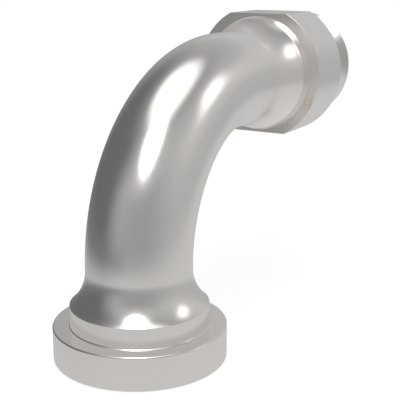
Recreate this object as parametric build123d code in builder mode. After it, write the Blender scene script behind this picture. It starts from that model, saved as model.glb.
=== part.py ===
from build123d import *
import os

# A one-piece steel pipe elbow with a clamp flange head at one end and a wrench collar at the other.
# Sizes are in millimetres. The origin is the centre of the flange head's sealing face,
# the inlet runs up +Z and the outlet leaves along +X.

# Flange head
head_radius = 31.75
head_thickness = 12.57
head_edge_round = 0.5

# Seal groove in the underside of the head
groove_outer_radius = 27.05
groove_inner_radius = 23.05
groove_depth = 2.79

# Neck above the head, and the height at which the lower flare takes over
neck_radius = 25.4
neck_top = 20.1
neck_root_fillet = 0.5

# Tube, its bend and the passage through it
tube_radius = 19.4
bore_radius = 15.875
bend_start = 33.1
bend_radius = 60.1
bend_angle = 90

# Upper flare, and the short neck that widens from its end to the collar
flare_start = 72.1
flare_end = 89.35
upper_neck_radius = 23.2
collar_root_radius = 24.2

# Wrench collar with two flats
collar_face = 93.04
collar_length = 25.0
collar_radius = 28.58
across_flats = 50.8
collar_edge_round = 0.2

# Stub behind the collar: a narrow neck, a steep cone and a thin lip
stub_neck_radius = 20.5
lip_cone_start = 136.55
lip_cone_end = 138.7
lip_radius = 24.2
lip_edge_round = 0.2
outlet_end = 139.2
mouth_chamfer = 0.5

# Worked out from the sizes above
axis_height = bend_start + bend_radius
collar_rear = collar_face + collar_length
bend_axis = Axis((bend_radius, 0, bend_start), (0, 1, 0))
outlet_axis = Axis((0, 0, axis_height), (1, 0, 0))
outlet_section_plane = Plane(origin=(0, 0, axis_height), x_dir=(1, 0, 0), z_dir=(0, -1, 0))


def corner(section, x, y):
    """Return the corner of a section sketch that lies nearest to the point (x, y)."""
    return section.vertices().sort_by_distance((x, y, 0))[0]


# The collar is turned round, then milled flat on two sides
with BuildPart() as collar:
    with BuildSketch(Plane.YZ.offset(collar_face)):
        with Locations((0, axis_height)):
            Circle(collar_radius)
            Rectangle(2 * collar_radius, across_flats, mode=Mode.INTERSECT)
    extrude(amount=collar_length)
    fillet(collar.edges(), collar_edge_round)

# The passage: straight in, a quarter turn, and straight out
with BuildPart() as passage:
    with BuildSketch(Plane.XY):
        Circle(bore_radius)
    extrude(amount=bend_start)
    with BuildSketch(Plane.XY.offset(bend_start)):
        Circle(bore_radius)
    revolve(axis=bend_axis, revolution_arc=bend_angle)
    with BuildSketch(Plane.YZ.offset(bend_radius)):
        with Locations((0, axis_height)):
            Circle(bore_radius)
    extrude(amount=outlet_end - bend_radius)

with BuildPart() as elbow_body:
    # Flange head, neck and lower flare, turned about the inlet axis
    with BuildSketch(Plane.XZ) as inlet_section:
        with BuildLine():
            Polyline(
                (tube_radius, bend_start),
                (0, bend_start),
                (0, 0),
                (head_radius, 0),
                (head_radius, head_thickness),
                (neck_radius, head_thickness),
                (neck_radius, neck_top),
            )
            TangentArc((tube_radius, bend_start), (neck_radius, neck_top), tangent=(0, -1))
        make_face()
        fillet(corner(inlet_section, neck_radius, head_thickness), neck_root_fillet)
        fillet(corner(inlet_section, head_radius, head_thickness), head_edge_round)
        fillet(corner(inlet_section, head_radius, 0), head_edge_round)
    revolve(axis=Axis.Z)

    # Quarter bend of the tube
    with BuildSketch(Plane.XY.offset(bend_start)):
        Circle(tube_radius)
    revolve(axis=bend_axis, revolution_arc=bend_angle)

    # Straight tube, upper flare, necks and lip, turned about the outlet axis
    with BuildSketch(outlet_section_plane) as outlet_section:
        with BuildLine():
            TangentArc((flare_start, tube_radius), (flare_end, upper_neck_radius), tangent=(1, 0))
            Polyline(
                (flare_end, upper_neck_radius),
                (collar_face, collar_root_radius),
                (collar_rear, collar_root_radius),
                (collar_rear, stub_neck_radius),
                (lip_cone_start, stub_neck_radius),
                (lip_cone_end, lip_radius),
                (outlet_end, lip_radius),
                (outlet_end, 0),
                (bend_radius, 0),
                (bend_radius, tube_radius),
                (flare_start, tube_radius),
            )
        make_face()
        fillet(corner(outlet_section, outlet_end, lip_radius), lip_edge_round)
        fillet(corner(outlet_section, lip_cone_end, lip_radius), lip_edge_round)
    revolve(axis=outlet_axis)

    add(collar.part)

    # Ring groove for the face seal
    with BuildSketch(Plane.XY):
        Circle(groove_outer_radius)
        Circle(groove_inner_radius, mode=Mode.SUBTRACT)
    extrude(amount=groove_depth, mode=Mode.SUBTRACT)

    add(passage.part, mode=Mode.SUBTRACT)

    # Break the edge of the outlet's mouth
    end_face = elbow_body.faces().filter_by(Plane.YZ).sort_by(Axis.X)[-1]
    mouth_edge = end_face.edges().sort_by(SortBy.RADIUS)[0]
    chamfer(mouth_edge, mouth_chamfer)

elbow_body.part.label = "elbow_body"

os.makedirs("parts", exist_ok=True)
export_step(elbow_body.part, "parts/elbow_body.step")
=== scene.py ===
"""Looks for a one-piece steel elbow with a clamp flange head and a wrench collar.

The body is one skin of rings, swept along the elbow's centre line by a Geometry Nodes tree. Each ring is a
station with a place along the centre line, a radius, a pair of wrench flats and a finish. Sizes in the
classes are in millimetres and degrees, and the meshes are in metres.
"""

import logging
import math
from dataclasses import dataclass
from enum import Enum

import bpy
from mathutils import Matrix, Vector


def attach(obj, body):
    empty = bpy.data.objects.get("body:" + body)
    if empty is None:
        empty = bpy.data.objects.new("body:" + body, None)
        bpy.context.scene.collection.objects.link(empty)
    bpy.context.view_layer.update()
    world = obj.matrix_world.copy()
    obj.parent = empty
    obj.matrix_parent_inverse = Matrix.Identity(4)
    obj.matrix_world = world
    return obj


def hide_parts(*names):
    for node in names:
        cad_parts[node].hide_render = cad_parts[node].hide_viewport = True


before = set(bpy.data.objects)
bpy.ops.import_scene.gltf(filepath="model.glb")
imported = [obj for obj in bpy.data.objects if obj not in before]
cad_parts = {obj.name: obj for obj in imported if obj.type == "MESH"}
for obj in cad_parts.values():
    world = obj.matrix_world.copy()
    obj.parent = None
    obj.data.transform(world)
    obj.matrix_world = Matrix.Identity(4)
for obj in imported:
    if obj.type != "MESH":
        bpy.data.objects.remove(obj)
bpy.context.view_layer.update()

MM = 0.001
# A wrench flat so far out that it cuts nothing
NO_FLAT = 1000.0
# How far a guard station stands from the edge that it keeps crisp
GUARD = 0.05
FILLET_STEPS = 7
NODE_SPACING = 190
LOG = logging.getLogger("elbow")

Color = tuple[float, float, float]
Point = tuple[float, float, float]
Place = tuple[float, float]
Node = bpy.types.Node
Socket = bpy.types.NodeSocket
Material = bpy.types.Material


class Finish(Enum):
    """How a stretch of the steel was finished. The value is its code on the skin."""

    TURNED_INLET = 0
    SATIN_TUBE = 1
    TURNED_OUTLET = 2
    MILLED_COLLAR = 3
    BORED = 4

    @property
    def label(self) -> str:
        """Name of the finish as a tree's input shows it."""
        return self.name.replace("_", " ").title()


@dataclass(frozen=True)
class Station:
    """One ring of the skin: where it sits, how wide it is and how the steel after it is finished."""

    along: float
    radius: float
    finish: Finish
    flat: float = NO_FLAT


@dataclass(frozen=True)
class Tube:
    """The tube and its centre line: up from the sealing face, a quarter turn, then out along +X."""

    outer_radius: float = 19.4
    bore_radius: float = 15.875
    bend_start: float = 33.1
    bend_radius: float = 60.1

    @property
    def bend_end(self) -> float:
        """Length along the centre line at which the bend ends."""
        return self.bend_start + self.bend_radius * math.pi / 2

    @property
    def outlet_height(self) -> float:
        """Height of the outlet's axis."""
        return self.bend_start + self.bend_radius

    def outlet(self, x: float) -> float:
        """Length along the centre line at a place x on the outlet's axis."""
        return self.bend_end + x - self.bend_radius


class NodeTree:
    """Adds nodes to a tree and wires them in one call."""

    def __init__(self, tree: bpy.types.NodeTree) -> None:
        """Wrap a tree.

        Args:
            tree: The shader or geometry tree to fill.
        """
        self.tree = tree

    def add(self, kind: str, *values: object, **settings: object) -> Node:
        """Add a node and give its inputs.

        Args:
            kind: The node's type name.
            values: One entry for each input, in order: a socket, a plain value, or None to leave it.
            settings: Properties of the node itself.

        Returns:
            The new node.
        """
        node = self.tree.nodes.new(kind)
        node.location = (NODE_SPACING * len(self.tree.nodes), 0)
        for name, value in settings.items():
            setattr(node, name, value)
        for socket, value in zip(node.inputs, values):
            self.feed(socket, value)
        return node

    def feed(self, socket: Socket, value: object) -> None:
        """Link a socket to another, or set its value.

        Args:
            socket: The input to fill.
            value: A socket, a plain value, or None to leave it as it is.
        """
        if isinstance(value, Socket):
            self.tree.links.new(value, socket)
        elif value is not None:
            socket.default_value = value

    def math(self, operation: str, *values: object) -> Socket:
        """Add a Math node and return its value.

        Args:
            operation: The operation's name.
            values: The operands.

        Returns:
            The value socket.
        """
        return self.add("ShaderNodeMath", *values, operation=operation).outputs[0]

    def vector(self, operation: str, *values: object) -> Node:
        """Add a Vector Math node.

        Args:
            operation: The operation's name.
            values: The operands.

        Returns:
            The node, whose outputs are a vector and a value.
        """
        return self.add("ShaderNodeVectorMath", *values, operation=operation)

    def ease(self, value: object, low: float, high: float, to_low: float, to_high: float) -> Socket:
        """Map a value from one range to another, easing in and out.

        Args:
            value: The value to map.
            low: Start of the range it comes from.
            high: End of the range it comes from.
            to_low: Start of the range it goes to.
            to_high: End of the range it goes to.

        Returns:
            The result socket.
        """
        node = self.add("ShaderNodeMapRange", value, low, high, to_low, to_high,
                        interpolation_type="SMOOTHSTEP")
        return node.outputs[0]


class Outline:
    """Collects the stations of one stretch of the skin, in the order in which the skin runs."""

    def __init__(self, finish: Finish) -> None:
        """Start with no stations.

        Args:
            finish: The finish of the steel that follows.
        """
        self.finish = finish
        self.stations: list[Station] = []

    def at(self, along: float, radius: float, flat: float = NO_FLAT) -> "Outline":
        """Add one station and return the outline."""
        self.stations.append(Station(along, radius, self.finish, flat))
        return self

    def drop_last(self) -> "Outline":
        """Leave out the last station, where the next stretch brings its own, and return the outline."""
        self.stations.pop()
        return self

    def line(self, end: Place, steps: int) -> "Outline":
        """Run evenly from the last station to an end point.

        Args:
            end: Place along and radius of the last new station.
            steps: How many new stations.

        Returns:
            The outline.
        """
        start = self.stations[-1]
        for i in range(1, steps + 1):
            t = i / steps
            self.at(start.along + (end[0] - start.along) * t, start.radius + (end[1] - start.radius) * t)
        return self

    def turn(self, centre: Place, size: float, start: float, end: float,
             flat_margin: float | None = None) -> "Outline":
        """Run round an arc, with a guard station at each end that keeps the faces beside it flat.

        Args:
            centre: Place along and radius of the arc's centre.
            size: The arc's radius.
            start: Angle at which it starts, from the way along towards the way out.
            end: Angle at which it ends.
            flat_margin: How far the wrench flats lie inside the round outline, if there are any.

        Returns:
            The outline.
        """
        places = []
        for i in range(FILLET_STEPS + 1):
            angle = math.radians(start + (end - start) * i / FILLET_STEPS)
            places.append((centre[0] + size * math.cos(angle), centre[1] + size * math.sin(angle)))
        quarter = math.copysign(90, end - start)
        for angle, index, sign in ((start, 0, -1), (end, -1, 1)):
            heading = math.radians(angle + quarter)
            near = places[index]
            guard = (near[0] + sign * GUARD * math.cos(heading), near[1] + sign * GUARD * math.sin(heading))
            places.insert(0 if index == 0 else len(places), guard)
        for along, radius in places:
            self.at(along, radius, NO_FLAT if flat_margin is None else radius - flat_margin)
        return self

    def flare(self, start: float, end: float, radius: float, end_radius: float, steps: int) -> "Outline":
        """Run along a concave arc that meets the tube without a step.

        Args:
            start: Place along at which the flare meets the tube.
            end: Place along at which it is widest.
            radius: The tube's radius.
            end_radius: The flare's radius where it is widest.
            steps: How many stations. The first that the skin meets is among them, and the last isn't.

        Returns:
            The outline. Where end comes before start, the stations run from end to start.
        """
        run, rise = end - start, end_radius - radius
        arc = (run**2 + rise**2) / (2 * rise)
        lean = math.asin(run / arc)
        shares = [i / steps for i in range(steps)]
        if run < 0:
            shares = [1 - share for share in shares]
        for share in shares:
            self.at(start + arc * math.sin(lean * share), radius + arc * (1 - math.cos(lean * share)))
        return self


@dataclass
class InletEnd:
    """The flange head with its seal groove, the neck above it and the lower flare."""

    tube: Tube
    head_radius: float = 31.75
    head_thickness: float = 12.57
    edge_round: float = 0.5
    groove_outer: float = 27.05
    groove_inner: float = 23.05
    groove_depth: float = 2.79
    neck_radius: float = 25.4
    neck_top: float = 20.1
    root_fillet: float = 0.5
    flare_steps: int = 28

    def stations(self) -> list[Station]:
        """Run from the passage's mouth round the head and up to the tube.

        Returns:
            The stations.
        """
        tube, skin = self.tube, Outline(Finish.TURNED_INLET)
        skin.at(0, tube.bore_radius).at(0, self.groove_inner)
        skin.at(self.groove_depth, self.groove_inner).at(self.groove_depth, self.groove_outer)
        skin.at(0, self.groove_outer)
        rim = self.head_radius - self.edge_round
        skin.turn((self.edge_round, rim), self.edge_round, 180, 90)
        skin.turn((self.head_thickness - self.edge_round, rim), self.edge_round, 90, 0)
        root = (self.head_thickness + self.root_fillet, self.neck_radius + self.root_fillet)
        skin.turn(root, self.root_fillet, 180, 270)
        skin.at(self.neck_top - GUARD, self.neck_radius)
        skin.finish = Finish.SATIN_TUBE
        skin.flare(tube.bend_start, self.neck_top, tube.outer_radius, self.neck_radius, self.flare_steps)
        return skin.stations


@dataclass
class WrenchCollar:
    """The turned collar with a wrench flat above and one below."""

    tube: Tube
    face: float = 93.04
    length: float = 25.0
    radius: float = 28.58
    across_flats: float = 50.8
    edge_round: float = 0.2
    root_radius: float = 24.2
    stub_radius: float = 20.5

    @property
    def corner(self) -> float:
        """Angle from the middle of a flat to its edge."""
        return math.degrees(math.acos(self.across_flats / 2 / self.radius))

    def stations(self) -> list[Station]:
        """Run out over the front face, along the collar and in over the rear face.

        Returns:
            The stations.
        """
        front, rear = self.tube.outlet(self.face), self.tube.outlet(self.face + self.length)
        margin, size = self.radius - self.across_flats / 2, self.edge_round
        skin = Outline(Finish.MILLED_COLLAR).at(front, self.root_radius).at(front, self.root_radius + GUARD)
        skin.turn((front + size, self.radius - size), size, 180, 90, margin)
        skin.turn((rear - size, self.radius - size), size, 90, 0, margin)
        skin.at(rear, self.stub_radius + GUARD)
        return skin.stations


@dataclass
class OutletEnd:
    """The bend, the upper flare and short neck, and behind the collar the stub with its thin lip."""

    tube: Tube
    collar: WrenchCollar
    flare_start: float = 72.1
    flare_end: float = 89.35
    neck_radius: float = 23.2
    cone_start: float = 136.55
    cone_end: float = 138.7
    lip_radius: float = 24.2
    lip_round: float = 0.2
    end: float = 139.2
    mouth_chamfer: float = 0.5
    bend_steps: int = 84
    run_steps: int = 6
    flare_steps: int = 26
    neck_steps: int = 16
    bore_steps: int = 56

    def bend(self) -> list[Station]:
        """Run round the bend, up the upper flare and along the neck, which widens towards the collar.

        Returns:
            The stations.
        """
        tube, neck = self.tube, self.neck_radius
        flare_start, flare_end = tube.outlet(self.flare_start), tube.outlet(self.flare_end)
        skin = Outline(Finish.SATIN_TUBE).at(tube.bend_start, tube.outer_radius)
        skin.line((tube.bend_end, tube.outer_radius), self.bend_steps)
        skin.line((flare_start, tube.outer_radius), self.run_steps).drop_last()
        skin.flare(flare_start, flare_end, tube.outer_radius, neck, self.flare_steps)
        skin.finish = Finish.TURNED_OUTLET
        skin.at(flare_end, neck)
        skin.line((tube.outlet(self.collar.face), self.collar.root_radius), self.neck_steps).drop_last()
        return skin.stations

    def stub(self) -> list[Station]:
        """Run from the collar's rear face along the stub and over its lip.

        Returns:
            The stations.
        """
        rear, radius = self.tube.outlet(self.collar.face + self.collar.length), self.collar.stub_radius
        cone, end = self.tube.outlet(self.cone_start), self.tube.outlet(self.end)
        skin = Outline(Finish.TURNED_OUTLET).at(rear, radius).at(rear + GUARD, radius)
        skin.at(cone - GUARD, radius).at(cone, radius)
        skin.line((self.tube.outlet(self.cone_end), self.lip_radius), self.run_steps)
        skin.turn((end - self.lip_round, self.lip_radius - self.lip_round), self.lip_round, 90, 0)
        skin.at(end, self.tube.bore_radius + self.mouth_chamfer)
        return skin.stations

    def passage(self) -> list[Station]:
        """Run inside the elbow, from the outlet's mouth back to where the skin began.

        Returns:
            The stations.
        """
        bore = self.tube.bore_radius
        skin = Outline(Finish.BORED).at(self.tube.outlet(self.end) - self.mouth_chamfer, bore)
        skin.line((self.tube.bend_end, bore), self.run_steps)
        skin.line((self.tube.bend_start, bore), self.bore_steps)
        skin.line((0, bore), self.run_steps)
        return skin.stations


@dataclass(frozen=True)
class RingLayout:
    """Where the points of every ring sit, so that the edges of the wrench flats fall between points."""

    corner: float
    corner_half: float = 0.19
    guard: float = 0.12
    flat_spans: int = 36
    round_spans: int = 84

    def angles(self) -> list[float]:
        """Work out the turn of each ring point from the middle of the upper flat.

        Returns:
            Angles from 0 to 360, both included.
        """
        edge, arc_start = self.corner - self.corner_half, self.corner + self.corner_half
        near = [edge * 2 * i / self.flat_spans for i in range(self.flat_spans // 2)]
        near += [edge - self.guard, edge, arc_start, arc_start + self.guard]
        step = (180 - 2 * arc_start) / self.round_spans
        middle = [arc_start + step * i for i in range(1, self.round_spans)]
        half = near + middle + [180 - angle for angle in reversed(near[1:])]
        return [*half, *(angle + 180 for angle in half), 360.0]


class RingSweep:
    """The Geometry Nodes tree that turns stations and a ring layout into a skin."""

    SHARP_EDGE = math.radians(17)
    MERGE_DISTANCE = 0.5e-6
    LEAST_COSINE = 0.001
    CODE_MARGIN = 0.5

    def __init__(self, tube: Tube, finishes: dict[Finish, Material]) -> None:
        """Build the tree.

        Args:
            tube: The tube whose centre line the rings follow.
            finishes: The material of each finish.
        """
        self.group = bpy.data.node_groups.new("ring_sweep", "GeometryNodeTree")
        self.nodes = NodeTree(self.group)
        self.finishes = finishes
        self.name_sockets(tube)
        self.wire()

    def name_sockets(self, tube: Tube) -> None:
        """Name the tree's inputs and its output.

        Args:
            tube: Gives the bend's default sizes.
        """
        face = self.group.interface
        face.new_socket("Stations", in_out="INPUT", socket_type="NodeSocketGeometry")
        face.new_socket("Ring", in_out="INPUT", socket_type="NodeSocketObject")
        for name, size in (("Bend Start", tube.bend_start), ("Bend Radius", tube.bend_radius)):
            face.new_socket(name, in_out="INPUT", socket_type="NodeSocketFloat").default_value = size * MM
        for finish, material in self.finishes.items():
            socket = face.new_socket(finish.label, in_out="INPUT", socket_type="NodeSocketMaterial")
            socket.default_value = material
        face.new_socket("Skin", in_out="OUTPUT", socket_type="NodeSocketGeometry")

    def sample(self, geometry: Socket, name: str, index: Socket) -> Socket:
        """Read a named number of one point.

        Args:
            geometry: The points.
            name: The attribute.
            index: Which point.

        Returns:
            The value socket.
        """
        value = self.nodes.add("GeometryNodeInputNamedAttribute", name, data_type="FLOAT").outputs[0]
        node = self.nodes.add("GeometryNodeSampleIndex", data_type="FLOAT", domain="POINT")
        for socket, source in (("Geometry", geometry), ("Value", value), ("Index", index)):
            self.nodes.feed(node.inputs[socket], source)
        return node.outputs[0]

    def points_in(self, geometry: Socket) -> Socket:
        """Count the points of a mesh."""
        size = self.nodes.add("GeometryNodeAttributeDomainSize", geometry, component="MESH")
        return size.outputs["Point Count"]

    def ring_point(self, stations: Socket, ring: Socket, ring_count: Socket) -> tuple[Socket, ...]:
        """Work out each point's place within its own ring.

        Args:
            stations: The station points.
            ring: The ring layout's points.
            ring_count: How many points a ring has.

        Returns:
            Sockets for the place along the centre line, the reach to the outside of the bend and the reach
            to the side.
        """
        n = self.nodes
        index = n.add("GeometryNodeInputIndex").outputs[0]
        which = n.math("FLOOR", n.math("DIVIDE", index, ring_count))
        turn = self.sample(ring, "turn", n.math("SUBTRACT", index, n.math("MULTIPLY", which, ring_count)))
        cosine, sine = n.math("COSINE", turn), n.math("SINE", turn)
        upright = n.math("MAXIMUM", n.math("ABSOLUTE", cosine), self.LEAST_COSINE)
        flat = n.math("DIVIDE", self.sample(stations, "flat", which), upright)
        reach = n.math("MINIMUM", self.sample(stations, "radius", which), flat)
        along = self.sample(stations, "along", which)
        return along, n.math("MULTIPLY", reach, cosine), n.math("MULTIPLY", reach, sine)

    def on_centre_line(self, source: Node, along: Socket, outward: Socket, sideways: Socket) -> Socket:
        """Carry each point of a ring to its place on the bent centre line.

        Args:
            source: The tree's input node.
            along: Place along the centre line.
            outward: Reach to the outside of the bend.
            sideways: Reach to the side.

        Returns:
            The position socket.
        """
        n = self.nodes
        start, bend = source.outputs["Bend Start"], source.outputs["Bend Radius"]
        past = n.math("SUBTRACT", along, start)
        swing = n.math("MINIMUM", n.math("MAXIMUM", n.math("DIVIDE", past, bend), 0.0), math.pi / 2)
        run_out = n.math("MAXIMUM", n.math("SUBTRACT", past, n.math("MULTIPLY", bend, math.pi / 2)), 0.0)
        reach, cosine, sine = n.math("ADD", bend, outward), n.math("COSINE", swing), n.math("SINE", swing)
        x = n.math("SUBTRACT", n.math("ADD", bend, run_out), n.math("MULTIPLY", reach, cosine))
        z = n.math("ADD", n.math("MINIMUM", along, start), n.math("MULTIPLY", reach, sine))
        return n.add("ShaderNodeCombineXYZ", x, sideways, z).outputs[0]

    def wire(self) -> None:
        """Wire the tree: a grid with a row for each station, placed, closed, smoothed and dressed."""
        n = self.nodes
        source = n.add("NodeGroupInput")
        stations = source.outputs["Stations"]
        ring = n.add("GeometryNodeObjectInfo", source.outputs["Ring"]).outputs["Geometry"]
        ring_count = self.points_in(ring)
        grid = n.add("GeometryNodeMeshGrid", 1.0, 1.0, self.points_in(stations), ring_count).outputs["Mesh"]
        where = self.on_centre_line(source, *self.ring_point(stations, ring, ring_count))
        skin = n.add("GeometryNodeSetPosition", grid, None, where).outputs[0]
        spans = n.math("SUBTRACT", ring_count, 1.0)
        row = n.math("FLOOR", n.math("DIVIDE", n.add("GeometryNodeInputIndex").outputs[0], spans))
        store = n.add("GeometryNodeStoreNamedAttribute", data_type="FLOAT", domain="FACE")
        parts = (("Geometry", skin), ("Name", "finish"), ("Value", self.sample(stations, "finish", row)))
        for socket, value in parts:
            n.feed(store.inputs[socket], value)
        merge = n.add("GeometryNodeMergeByDistance", store.outputs[0])
        merge.inputs["Distance"].default_value = self.MERGE_DISTANCE
        skin = n.add("GeometryNodeRealizeInstances", self.shade(merge.outputs[0])).outputs[0]
        n.add("NodeGroupOutput", self.dress(source, skin))

    def shade(self, skin: Socket) -> Socket:
        """Smooth the faces and keep the turned and milled edges crisp.

        Args:
            skin: The mesh.

        Returns:
            The shaded mesh.
        """
        n = self.nodes
        smooth = n.add("GeometryNodeSetShadeSmooth", skin, None, True, domain="FACE").outputs[0]
        crisp = n.math("GREATER_THAN", n.add("GeometryNodeInputMeshEdgeAngle").outputs[0], self.SHARP_EDGE)
        return n.add("GeometryNodeSetShadeSmooth", smooth, crisp, False, domain="EDGE").outputs[0]

    def dress(self, source: Node, skin: Socket) -> Socket:
        """Give each stretch the material of its finish.

        Args:
            source: The tree's input node.
            skin: The mesh.

        Returns:
            The dressed mesh.
        """
        n = self.nodes
        code = n.add("GeometryNodeInputNamedAttribute", "finish", data_type="FLOAT").outputs[0]
        for finish in self.finishes:
            chosen = n.math("COMPARE", code, float(finish.value), self.CODE_MARGIN)
            skin = n.add("GeometryNodeSetMaterial", skin, chosen, source.outputs[finish.label]).outputs[0]
        return skin


def number_line(name: str, columns: dict[str, list[float]]) -> bpy.types.Object:
    """Make an object of loose points that carry named numbers.

    Args:
        name: The object's name.
        columns: One list of numbers for each attribute, all of one length.

    Returns:
        The object, linked to the scene.
    """
    mesh = bpy.data.meshes.new(name)
    mesh.vertices.add(len(next(iter(columns.values()))))
    for column, numbers in columns.items():
        mesh.attributes.new(column, "FLOAT", "POINT").data.foreach_set("value", numbers)
    made = bpy.data.objects.new(name, mesh)
    bpy.context.scene.collection.objects.link(made)
    return made


@dataclass
class ElbowBody:
    """The whole elbow, which is one piece of steel."""

    tube: Tube
    inlet: InletEnd
    collar: WrenchCollar
    outlet: OutletEnd
    finishes: dict[Finish, Material]
    name: str = "elbow"

    def stations(self) -> list[Station]:
        """List every ring of the skin, which ends where it began."""
        return [*self.inlet.stations(), *self.outlet.bend(), *self.collar.stations(), *self.outlet.stub(),
                *self.outlet.passage()]

    def build(self) -> bpy.types.Object:
        """Sweep the skin and leave it as a plain mesh.

        Returns:
            The elbow's object.
        """
        rings = self.stations()
        points = number_line("stations", {
            "along": [ring.along * MM for ring in rings],
            "radius": [ring.radius * MM for ring in rings],
            "flat": [ring.flat * MM for ring in rings],
            "finish": [float(ring.finish.value) for ring in rings],
        })
        layout = RingLayout(self.collar.corner)
        ring = number_line("ring", {"turn": [math.radians(angle) for angle in layout.angles()]})
        sweep = RingSweep(self.tube, self.finishes)
        modifier = points.modifiers.new("ring_sweep", "NODES")
        modifier.node_group = sweep.group
        socket = next(item for item in sweep.group.interface.items_tree if item.name == "Ring")
        modifier[socket.identifier] = ring
        made = self.plain_copy(points)
        for helper in (points, ring):
            bpy.data.objects.remove(helper)
        return made

    def plain_copy(self, source: bpy.types.Object) -> bpy.types.Object:
        """Turn an object's evaluated result into a mesh with no modifier.

        Args:
            source: The object with the modifier.

        Returns:
            The new object.
        """
        graph = bpy.context.evaluated_depsgraph_get()
        mesh = bpy.data.meshes.new_from_object(source.evaluated_get(graph))
        source.modifiers.clear()
        mesh.name = self.name
        made = bpy.data.objects.new(self.name, mesh)
        bpy.context.scene.collection.objects.link(made)
        return made


@dataclass(frozen=True)
class Lathe:
    """The axis about which a stretch was turned: a point on it, in metres, and its direction."""

    point: Point
    direction: Point


@dataclass(frozen=True)
class SteelSurface:
    """One finish of the steel: its tint, its gloss and the marks that the work left on it."""

    name: str
    lathe: Lathe
    tint: Color = (0.975, 0.945, 0.917)
    roughness: float = 0.21
    mark_pitch: float = 0.18
    mark_depth: float = 0.0002
    grain_size: float = 0.4
    grain_depth: float = 0.0001
    clouding: float = 0.03


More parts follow.
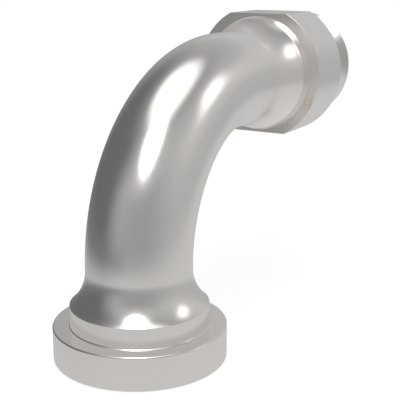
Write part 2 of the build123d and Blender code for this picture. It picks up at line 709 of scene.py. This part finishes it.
class SteelShop:
    """Builds the shared shader groups once, and a material for each surface."""

    NOISE_MIDDLE = 0.5
    STREAK_SCALE = 0.17
    CLOUD_SCALE = 70.0
    TINT_SHARE = 0.4

    def __init__(self) -> None:
        """Build the shared groups."""
        self.marks = self.lathe_marks()
        self.grain = self.steel_grain()

    @staticmethod
    def group(name: str, inputs: dict[str, str], outputs: dict[str, str]) -> NodeTree:
        """Start a shader group.

        Args:
            name: The group's name.
            inputs: Name and kind of each input.
            outputs: Name and kind of each output.

        Returns:
            The group's tree.
        """
        tree = bpy.data.node_groups.new(name, "ShaderNodeTree")
        for way, sockets in (("INPUT", inputs), ("OUTPUT", outputs)):
            for label, kind in sockets.items():
                tree.interface.new_socket(label, in_out=way, socket_type=f"NodeSocket{kind}")
        return NodeTree(tree)

    def lathe_marks(self) -> bpy.types.NodeTree:
        """Build the group for fine rings left by turning, on cylinders and flat faces alike.

        Returns:
            The group.
        """
        n = self.group("lathe_marks", {"Point": "Vector", "Axis Point": "Vector", "Axis Direction": "Vector",
                                       "Pitch": "Float"}, {"Height": "Float", "Streak": "Float"})
        source = n.add("NodeGroupInput").outputs
        arm = n.vector("SUBTRACT", source["Point"], source["Axis Point"]).outputs["Vector"]
        along = n.vector("DOT_PRODUCT", arm, source["Axis Direction"]).outputs["Value"]
        squared = n.vector("DOT_PRODUCT", arm, arm).outputs["Value"]
        radius = n.math("SQRT", n.math("SUBTRACT", squared, n.math("MULTIPLY", along, along)))
        place = n.math("DIVIDE", n.math("ADD", along, radius), source["Pitch"])
        fine = n.add("ShaderNodeTexNoise", noise_dimensions="1D")
        coarse = n.add("ShaderNodeTexNoise", noise_dimensions="1D")
        for node, scale, detail in ((fine, 1.0, 3.0), (coarse, self.STREAK_SCALE, 2.0)):
            n.feed(node.inputs["W"], place)
            n.feed(node.inputs["Scale"], scale)
            n.feed(node.inputs["Detail"], detail)
        out = n.add("NodeGroupOutput")
        n.feed(out.inputs["Height"], fine.outputs[0])
        n.feed(out.inputs["Streak"], n.math("SUBTRACT", coarse.outputs[0], self.NOISE_MIDDLE))
        return n.tree

    def steel_grain(self) -> bpy.types.NodeTree:
        """Build the group for the fine grain and the broad, faint clouding of polished steel.

        Returns:
            The group.
        """
        n = self.group("steel_grain", {"Point": "Vector", "Size": "Float"},
                       {"Height": "Float", "Cloud": "Float"})
        source = n.add("NodeGroupInput").outputs
        scaled = n.vector("DIVIDE", source["Point"], source["Size"]).outputs["Vector"]
        fine = n.add("ShaderNodeTexNoise", scaled)
        broad = n.add("ShaderNodeTexNoise", source["Point"])
        for node, scale, detail in ((fine, 1.0, 2.0), (broad, self.CLOUD_SCALE, 3.0)):
            n.feed(node.inputs["Scale"], scale)
            n.feed(node.inputs["Detail"], detail)
        out = n.add("NodeGroupOutput")
        n.feed(out.inputs["Height"], fine.outputs[0])
        n.feed(out.inputs["Cloud"], n.math("SUBTRACT", broad.outputs[0], self.NOISE_MIDDLE))
        return n.tree

    def material(self, surface: SteelSurface) -> Material:
        """Build the material of one surface.

        Args:
            surface: Its finish.

        Returns:
            The material.
        """
        made = bpy.data.materials.new(surface.name)
        made.use_nodes = True
        made.node_tree.nodes.clear()
        n = NodeTree(made.node_tree)
        point = n.add("ShaderNodeTexCoord").outputs["Object"]
        marks = n.add("ShaderNodeGroup", node_tree=self.marks)
        values = (point, surface.lathe.point, surface.lathe.direction, surface.mark_pitch * MM)
        for socket, value in zip(marks.inputs, values):
            n.feed(socket, value)
        grain = n.add("ShaderNodeGroup", node_tree=self.grain)
        for socket, value in zip(grain.inputs, (point, surface.grain_size * MM)):
            n.feed(socket, value)
        unevenness = n.math("ADD", marks.outputs["Streak"], grain.outputs["Cloud"])
        roughness = n.math("MULTIPLY_ADD", unevenness, surface.clouding, surface.roughness)
        shift = n.math("MULTIPLY_ADD", unevenness, -surface.clouding * self.TINT_SHARE, 1.0)
        colour = n.vector("SCALE", surface.tint)
        n.feed(colour.inputs["Scale"], shift)
        height = n.math("ADD", n.math("MULTIPLY", marks.outputs["Height"], surface.mark_depth * MM),
                        n.math("MULTIPLY", grain.outputs["Height"], surface.grain_depth * MM))
        bump = n.add("ShaderNodeBump")
        for name, value in (("Strength", 1.0), ("Distance", 1.0), ("Height", height)):
            n.feed(bump.inputs[name], value)
        shader = n.add("ShaderNodeBsdfPrincipled")
        parts = (("Base Color", colour.outputs["Vector"]), ("Metallic", 1.0), ("Roughness", roughness),
                 ("Normal", bump.outputs[0]))
        for name, value in parts:
            n.feed(shader.inputs[name], value)
        n.add("ShaderNodeOutputMaterial", shader.outputs[0])
        return made


@dataclass(frozen=True)
class SoftPanel:
    """A patch of the studio's dome with soft edges: its middle, its reach each way and its brightness."""

    azimuth: float
    half_width: float
    low: float
    high: float
    level: float
    side_feather: float = 12.0
    end_feather: float = 4.0


@dataclass(frozen=True)
class Lamp:
    """An oval lamp: the way to it from the elbow, its distance, its half sizes and its brightness."""

    name: str
    azimuth: float
    elevation: float
    distance: float
    half_width: float
    half_height: float
    level: float


def heading(azimuth: float, elevation: float) -> Vector:
    """Turn two angles into a direction, with the azimuth counted from +X towards +Y."""
    a, e = math.radians(azimuth), math.radians(elevation)
    return Vector((math.cos(a) * math.cos(e), math.sin(a) * math.cos(e), math.sin(e)))


@dataclass(frozen=True)
class View:
    """The camera: where it stands, the way it looks and its lens. The near limit is in metres."""

    place: Point = (-250.66, -169.84, 139.32)
    azimuth: float = 29.968
    drop: float = 15.007
    focal_pixels: float = 886.0
    picture_pixels: float = 400.0
    sensor: float = 36.0
    near: float = 0.01


class Studio:
    """The plain room round the elbow: a soft dome, a key lamp, a pale floor and the camera."""

    AIM = Vector((30.0, 0.0, 70.0)) * MM
    DOME = ((-90, 0.75), (-17, 0.55), (-11, 0.43), (6, 0.45), (14, 0.52), (26, 0.54), (36, 0.44), (50, 0.38),
            (57, 0.30), (61.5, 0.25), (68, 1.05), (78, 1.60), (90, 1.50))
    PANELS = (
        SoftPanel(azimuth=100, half_width=55, low=-14, high=57, level=0.14, side_feather=28, end_feather=14),
        SoftPanel(azimuth=105, half_width=78, low=-12, high=-2, level=0.17, side_feather=14),
        SoftPanel(azimuth=-150, half_width=48, low=-12, high=30, level=0.32, side_feather=40, end_feather=8),
        SoftPanel(azimuth=-56, half_width=9, low=25, high=42, level=1.8, side_feather=6, end_feather=6),
    )
    FIRST_DEPTH = 2.5
    LATER_LEVEL = 0.9
    KEY = Lamp("key", azimuth=-158, elevation=52, distance=395, half_width=103, half_height=132, level=2.5)
    FLOOR_RADIUS = 6.0
    FLOOR_DROP = 0.3
    FLOOR_GLOW = 0.82
    FLOOR_SHADE = 0.35
    WHITE = (1, 1, 1, 1)
    RAMP_SPAN = 180.0
    RAMP_MIDDLE = 0.5

    def build(self) -> None:
        """Set up the dome, the lamp, the floor and the camera."""
        self.build_dome()
        self.build_lamp(self.KEY)
        self.build_floor()
        self.build_camera(View())
        bpy.context.scene.view_settings.view_transform = "Standard"

    def build_dome(self) -> None:
        """Light the room by a dome whose brightness changes softly with direction.

        The camera sees plain white. Past the first reflection, which FIRST_DEPTH tells from the later ones,
        the panels fade and the dome dims a little, so that corners in which steel mirrors steel stay light.
        """
        world = bpy.data.worlds.new("studio")
        bpy.context.scene.world = world
        world.use_nodes = True
        world.node_tree.nodes.clear()
        n = NodeTree(world.node_tree)
        way = n.add("ShaderNodeSeparateXYZ", n.add("ShaderNodeTexCoord").outputs["Generated"]).outputs
        elevation = n.math("DEGREES", n.math("ARCSINE", way["Z"]))
        azimuth = n.math("DEGREES", n.math("ARCTAN2", way["Y"], way["X"]))
        place = n.math("MULTIPLY_ADD", elevation, 1 / self.RAMP_SPAN, self.RAMP_MIDDLE)
        ramp = n.add("ShaderNodeValToRGB", place)
        self.fill_ramp(ramp.color_ramp)
        path = n.add("ShaderNodeLightPath").outputs
        first = n.math("LESS_THAN", path["Ray Depth"], self.FIRST_DEPTH)
        level = n.math("MULTIPLY", ramp.outputs["Color"],
                       n.math("MULTIPLY_ADD", first, 1 - self.LATER_LEVEL, self.LATER_LEVEL))
        for panel in self.PANELS:
            share = n.math("MULTIPLY", self.panel_share(n, panel, azimuth, elevation), first)
            level = n.math("MULTIPLY_ADD", n.math("SUBTRACT", panel.level, level), share, level)
        dome = n.add("ShaderNodeBackground", level).outputs[0]
        white = n.add("ShaderNodeBackground", self.WHITE).outputs[0]
        seen = n.add("ShaderNodeMixShader", path["Is Camera Ray"], dome, white)
        n.add("ShaderNodeOutputWorld", seen.outputs[0])

    def panel_share(self, n: NodeTree, panel: SoftPanel, azimuth: Socket, elevation: Socket) -> Socket:
        """Work out how much of a panel is seen in a direction.

        Args:
            n: The world's tree.
            panel: The panel.
            azimuth: The direction's azimuth in degrees.
            elevation: The direction's elevation in degrees.

        Returns:
            The share, from 0 outside the panel to 1 well inside it.
        """
        side, end = panel.side_feather, panel.end_feather
        apart = n.math("ABSOLUTE", n.math("WRAP", n.math("SUBTRACT", azimuth, panel.azimuth), 180, -180))
        across = n.ease(apart, panel.half_width - side, panel.half_width + side, 1.0, 0.0)
        above = n.ease(elevation, panel.low - end, panel.low + end, 0.0, 1.0)
        below = n.ease(elevation, panel.high - end, panel.high + end, 1.0, 0.0)
        return n.math("MULTIPLY", across, n.math("MULTIPLY", above, below))

    def fill_ramp(self, ramp: bpy.types.ColorRamp) -> None:
        """Fill a ramp over the elevation with the dome's levels.

        Args:
            ramp: The ramp to fill, which starts with two stops.
        """
        for i, (elevation, level) in enumerate(self.DOME):
            place = self.RAMP_MIDDLE + elevation / self.RAMP_SPAN
            stop = ramp.elements[i] if i < 2 else ramp.elements.new(place)
            stop.position = place
            stop.color = (level, level, level, 1)

    def build_lamp(self, lamp: Lamp) -> None:
        """Hang an oval lamp that faces the elbow. Its power follows from its brightness and its area.

        Args:
            lamp: The lamp.
        """
        data = bpy.data.lights.new(lamp.name, "AREA")
        data.shape = "ELLIPSE"
        half_width, half_height = lamp.half_width * MM, lamp.half_height * MM
        data.size, data.size_y = 2 * half_width, 2 * half_height
        area = math.pi * half_width * half_height
        data.energy = lamp.level * math.pi * area
        made = bpy.data.objects.new(lamp.name, data)
        way = heading(lamp.azimuth, lamp.elevation)
        made.location = self.AIM + way * lamp.distance * MM
        made.rotation_euler = way.to_track_quat("Z", "Y").to_euler()
        made.visible_camera = False
        bpy.context.scene.collection.objects.link(made)

    def build_floor(self) -> None:
        """Lay a plain pale floor that glows a little, so that only a faint shadow shows."""
        corners = [(self.FLOOR_RADIUS * x, self.FLOOR_RADIUS * y, -self.FLOOR_DROP * MM)
                   for x, y in ((-1, -1), (1, -1), (1, 1), (-1, 1))]
        mesh = bpy.data.meshes.new("floor")
        mesh.from_pydata(corners, [], [(0, 1, 2, 3)])
        mesh.materials.append(self.floor_material())
        floor = bpy.data.objects.new("floor", mesh)
        bpy.context.scene.collection.objects.link(floor)
        floor.visible_glossy = False

    def floor_material(self) -> Material:
        """Build the floor's pale material, which is clear from below.

        Returns:
            The material.
        """
        made = bpy.data.materials.new("pale_floor")
        made.use_nodes = True
        made.node_tree.nodes.clear()
        n = NodeTree(made.node_tree)
        shade = n.add("ShaderNodeBsdfDiffuse", (self.FLOOR_SHADE,) * 3 + (1,)).outputs[0]
        glow = n.add("ShaderNodeEmission", self.WHITE, self.FLOOR_GLOW).outputs[0]
        top = n.add("ShaderNodeAddShader", shade, glow).outputs[0]
        clear = n.add("ShaderNodeBsdfTransparent").outputs[0]
        below = n.add("ShaderNodeNewGeometry").outputs["Backfacing"]
        n.add("ShaderNodeOutputMaterial", n.add("ShaderNodeMixShader", below, top, clear).outputs[0])
        return made

    def build_camera(self, view: View) -> None:
        """Stand the camera where the photograph was taken from.

        Args:
            view: The camera's place and lens.
        """
        data = bpy.data.cameras.new("camera")
        data.sensor_width = view.sensor
        data.lens = view.focal_pixels / view.picture_pixels * view.sensor
        data.clip_start = view.near
        camera = bpy.data.objects.new("camera", data)
        camera.location = Vector(view.place) * MM
        camera.rotation_euler = heading(view.azimuth, -view.drop).to_track_quat("-Z", "Y").to_euler()
        bpy.context.scene.collection.objects.link(camera)
        bpy.context.scene.camera = camera


def steel_finishes(tube: Tube) -> dict[Finish, Material]:
    """Make the material of each finish.

    Args:
        tube: Gives the outlet axis its height.

    Returns:
        The materials.
    """
    inlet = Lathe((0.0, 0.0, 0.0), (0.0, 0.0, 1.0))
    outlet = Lathe((0.0, 0.0, tube.outlet_height * MM), (1.0, 0.0, 0.0))
    surfaces = {
        Finish.TURNED_INLET: SteelSurface("turned_head", inlet),
        Finish.SATIN_TUBE: SteelSurface("satin_tube", inlet, mark_pitch=0.5, mark_depth=0.0, grain_size=0.35),
        Finish.TURNED_OUTLET: SteelSurface("turned_neck", outlet),
        Finish.MILLED_COLLAR: SteelSurface("milled_collar", outlet, mark_pitch=0.2),
        Finish.BORED: SteelSurface("bored_passage", inlet, roughness=0.25, mark_pitch=0.3, mark_depth=0.0,
                                   grain_depth=0.0002, clouding=0.04),
    }
    shop = SteelShop()
    return {finish: shop.material(surface) for finish, surface in surfaces.items()}


def main() -> None:
    """Build the elbow and the studio."""
    logging.basicConfig(level=logging.INFO, format="%(message)s")
    tube = Tube()
    collar = WrenchCollar(tube)
    body = ElbowBody(tube, InletEnd(tube), collar, OutletEnd(tube, collar), steel_finishes(tube))
    elbow = body.build()
    LOG.info("%s: %d faces", elbow.name, len(elbow.data.polygons))
    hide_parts("elbow_body")
    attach(elbow, "root")
    Studio().build()


if __name__ == "__main__":
    main()
